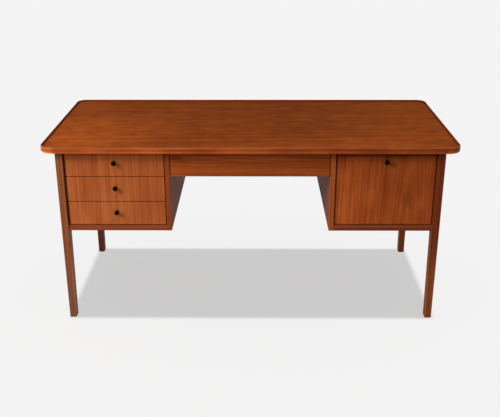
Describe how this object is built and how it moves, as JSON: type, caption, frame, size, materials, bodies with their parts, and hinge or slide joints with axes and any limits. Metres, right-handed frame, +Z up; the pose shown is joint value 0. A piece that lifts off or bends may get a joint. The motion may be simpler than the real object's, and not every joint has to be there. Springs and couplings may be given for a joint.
{
  "type": "executive desk",
  "caption": "Teak pedestal desk on tapered posts: lipped top with round corners, drawer stack on the left, deep file drawer on the right, open kneehole, black turned knobs.",
  "frame": {"origin": "on the floor, under the middle of the top", "axes": "+X along the desk, to the right of someone facing the drawers; -Y towards the sitter; +Z up"},
  "size_m": [1.6, 0.75, 0.74],
  "materials": {
    "top_veneer": "oiled teak veneer, satin",
    "solid_teak_lipping": "oiled solid teak, satin",
    "solid_teak_legs": "oiled solid teak, satin",
    "case_veneer": "oiled teak veneer, satin",
    "apron_veneer": "oiled teak veneer, satin",
    "front_veneer": "oiled teak veneer with upright grain, satin",
    "drawer_beech": "planed solid beech, thin lacquer",
    "drawer_plywood": "sanded birch plywood",
    "runner_beech": "planed beech, waxed",
    "ebonised_wood": "turned, black lacquer, satin",
    "zinc_steel": "bright zinc plate"
  },
  "bodies": {
    "desk_frame": {"top_panel": "top_veneer", "lipping_front": "solid_teak_lipping", "lipping_rear": "solid_teak_lipping", "lipping_left": "solid_teak_lipping", "lipping_right": "solid_teak_lipping", "lipping_corners": "solid_teak_lipping", "leg_front_left": "solid_teak_legs", "leg_front_right": "solid_teak_legs", "leg_rear_left": "solid_teak_legs", "leg_rear_right": "solid_teak_legs", "left_outer_panel": "case_veneer", "left_inner_panel": "case_veneer", "left_bottom_panel": "case_veneer", "left_back_panel": "case_veneer", "right_outer_panel": "case_veneer", "right_inner_panel": "case_veneer", "right_bottom_panel": "case_veneer", "right_back_panel": "case_veneer", "front_apron": "apron_veneer", "rear_apron": "apron_veneer", "left_runners_inner": "runner_beech", "left_runners_outer": "runner_beech", "left_top_cleats": "runner_beech", "right_runners_inner": "runner_beech", "right_runners_outer": "runner_beech", "right_top_cleats": "runner_beech", "carcass_dowels": "runner_beech", "runner_screws": "zinc_steel", "top_screws": "zinc_steel"},
    "upper_drawer": {"upper_drawer_front": "front_veneer", "upper_drawer_left_side": "drawer_beech", "upper_drawer_right_side": "drawer_beech", "upper_drawer_back": "drawer_beech", "upper_drawer_bottom": "drawer_plywood", "upper_drawer_knob": "ebonised_wood", "upper_drawer_knob_screw": "zinc_steel"},
    "middle_drawer": {"middle_drawer_front": "front_veneer", "middle_drawer_left_side": "drawer_beech", "middle_drawer_right_side": "drawer_beech", "middle_drawer_back": "drawer_beech", "middle_drawer_bottom": "drawer_plywood", "middle_drawer_knob": "ebonised_wood", "middle_drawer_knob_screw": "zinc_steel"},
    "lower_drawer": {"lower_drawer_front": "front_veneer", "lower_drawer_left_side": "drawer_beech", "lower_drawer_right_side": "drawer_beech", "lower_drawer_back": "drawer_beech", "lower_drawer_bottom": "drawer_plywood", "lower_drawer_knob": "ebonised_wood", "lower_drawer_knob_screw": "zinc_steel"},
    "file_drawer": {"file_drawer_front": "front_veneer", "file_drawer_left_side": "drawer_beech", "file_drawer_right_side": "drawer_beech", "file_drawer_back": "drawer_beech", "file_drawer_bottom": "drawer_plywood", "file_drawer_knob": "ebonised_wood", "file_drawer_knob_screw": "zinc_steel"}
  },
  "joints": [
    {"name": "upper_drawer_slide", "type": "slide", "parent": "desk_frame", "child": "upper_drawer", "axis": [0, -1, 0], "range_m": [0, 0.4]},
    {"name": "middle_drawer_slide", "type": "slide", "parent": "desk_frame", "child": "middle_drawer", "axis": [0, -1, 0], "range_m": [0, 0.4]},
    {"name": "lower_drawer_slide", "type": "slide", "parent": "desk_frame", "child": "lower_drawer", "axis": [0, -1, 0], "range_m": [0, 0.4]},
    {"name": "file_drawer_slide", "type": "slide", "parent": "desk_frame", "child": "file_drawer", "axis": [0, -1, 0], "range_m": [0, 0.4]}
  ]
}
